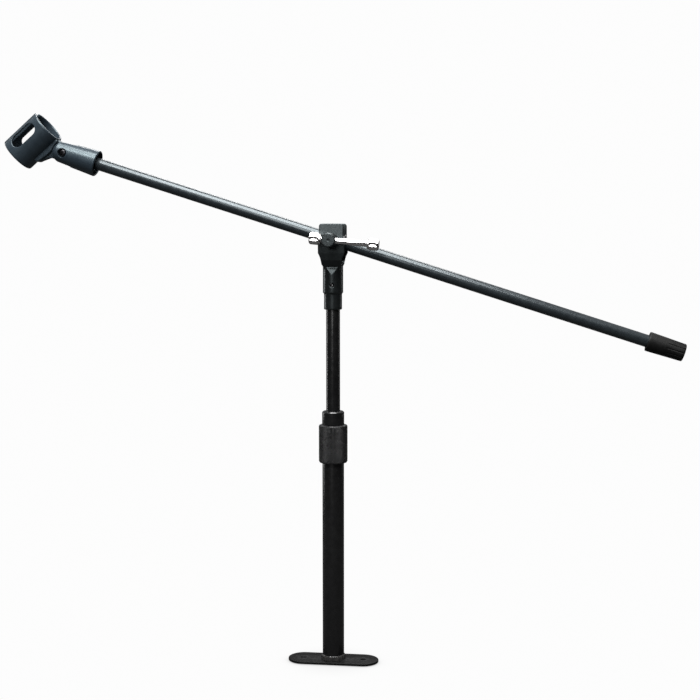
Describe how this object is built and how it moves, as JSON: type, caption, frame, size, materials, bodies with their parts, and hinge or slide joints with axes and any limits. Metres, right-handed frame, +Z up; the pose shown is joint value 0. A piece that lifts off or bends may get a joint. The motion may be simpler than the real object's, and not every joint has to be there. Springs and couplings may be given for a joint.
{
  "type": "boom microphone stand",
  "caption": "Black boom microphone stand: screw-down plate, clutch column, fork head with T-bar clamp, sliding boom and tilting clip.",
  "frame": {"origin": "on the plate's flat underside, on the axis of the column", "axes": "+Z up along the column, +X along the plate and towards the boom's lower end, -Y towards the side that the clamp screw faces"},
  "size_m": [0.7811, 0.0622, 0.6374],
  "materials": {
    "plate_black": "thick satin black paint over steel, slightly dusty",
    "tube_black": "smooth semi-gloss black paint on steel tube",
    "cast_black": "semi-matt black paint on a die casting",
    "knurl_black": "black painted metal with a fine diamond knurl",
    "chrome": "bright chrome plate",
    "zinc_steel": "bright zinc-plated steel",
    "brass": "turned brass",
    "nylon": "natural nylon",
    "clip_plastic": "blue-black moulded plastic with a soft sheen",
    "cap_rubber": "black moulded rubber"
  },
  "bodies": {
    "stand_base": {"base_plate": "plate_black", "weld_bead": "plate_black", "lower_tube": "tube_black", "clutch_ferrule": "zinc_steel", "clutch_collet": "nylon"},
    "clutch_nut": {"clutch_knob": "knurl_black", "clutch_neck_ring": "tube_black"},
    "guide": {"guide_bush": "nylon"},
    "column": {"upper_tube": "tube_black", "lower_bush_clip": "zinc_steel", "upper_bush_clip": "zinc_steel", "head_casting": "cast_black", "sleeve_pin": "zinc_steel", "pivot_bolt": "zinc_steel", "rear_friction_washer": "nylon", "front_friction_washer": "nylon"},
    "drum": {"swivel_drum": "cast_black"},
    "liner": {"bore_liner": "nylon"},
    "boom": {"boom_tube": "tube_black", "boom_thread_stub": "zinc_steel", "boom_end_cap": "cap_rubber"},
    "clip_swivel": {"clip_base": "clip_plastic", "thread_insert": "brass", "clip_pivot_screw": "zinc_steel", "clip_pivot_nut": "zinc_steel"},
    "clip": {"clip_body": "clip_plastic"},
    "pad": {"pressure_pad": "nylon"},
    "clamp": {"clamp_screw": "cast_black"},
    "t_bar": {"tommy_bar": "chrome", "bar_end_left": "chrome", "bar_end_right": "chrome"}
  },
  "joints": [
    {"name": "height_slide", "type": "slide", "parent": "stand_base", "child": "guide", "axis": [0, 0, 1], "range_m": [-0.115, 0.08]},
    {"name": "column_swivel", "type": "hinge", "parent": "guide", "child": "column", "pos_m": [0, 0, 0.14], "axis": [0, 0, 1], "continuous": true},
    {"name": "clutch_turn", "type": "hinge", "parent": "stand_base", "child": "clutch_nut", "pos_m": [0, 0, 0.26], "axis": [0, 0, 1], "range_deg": [0, 270]},
    {"name": "boom_tilt", "type": "hinge", "parent": "column", "child": "drum", "pos_m": [0, 0, 0.4915], "axis": [0, 1, 0], "range_deg": [-67, 32]},
    {"name": "boom_roll", "type": "hinge", "parent": "drum", "child": "liner", "pos_m": [0, 0, 0.4915], "axis": [0.9532, 0, -0.3024], "continuous": true},
    {"name": "boom_slide", "type": "slide", "parent": "liner", "child": "boom", "axis": [0.9532, 0, -0.3024], "range_m": [-0.33, 0.18]},
    {"name": "clamp_travel", "type": "slide", "parent": "column", "child": "pad", "axis": [0, -1, 0], "range_m": [0, 0.00095]},
    {"name": "clamp_turn", "type": "hinge", "parent": "pad", "child": "clamp", "pos_m": [0, -0.02, 0.4915], "axis": [0, -1, 0], "range_deg": [0, 270]},
    {"name": "bar_slide", "type": "slide", "parent": "clamp", "child": "t_bar", "axis": [0.9952, 0, -0.0976], "range_m": [-0.0343, 0]},
    {"name": "clip_turn", "type": "hinge", "parent": "boom", "child": "clip_swivel", "pos_m": [-0.31398, 0, 0.5911], "axis": [0.9532, 0, -0.3024], "range_deg": [-180, 180]},
    {"name": "clip_tilt", "type": "hinge", "parent": "clip_swivel", "child": "clip", "pos_m": [-0.31398, 0, 0.5911], "axis": [0, 1, 0], "range_deg": [-60, 60]}
  ],
  "couplings": [
    {"joint": "clamp_travel", "follows": "clamp_turn", "m_per_rad": 0.00019894}
  ]
}
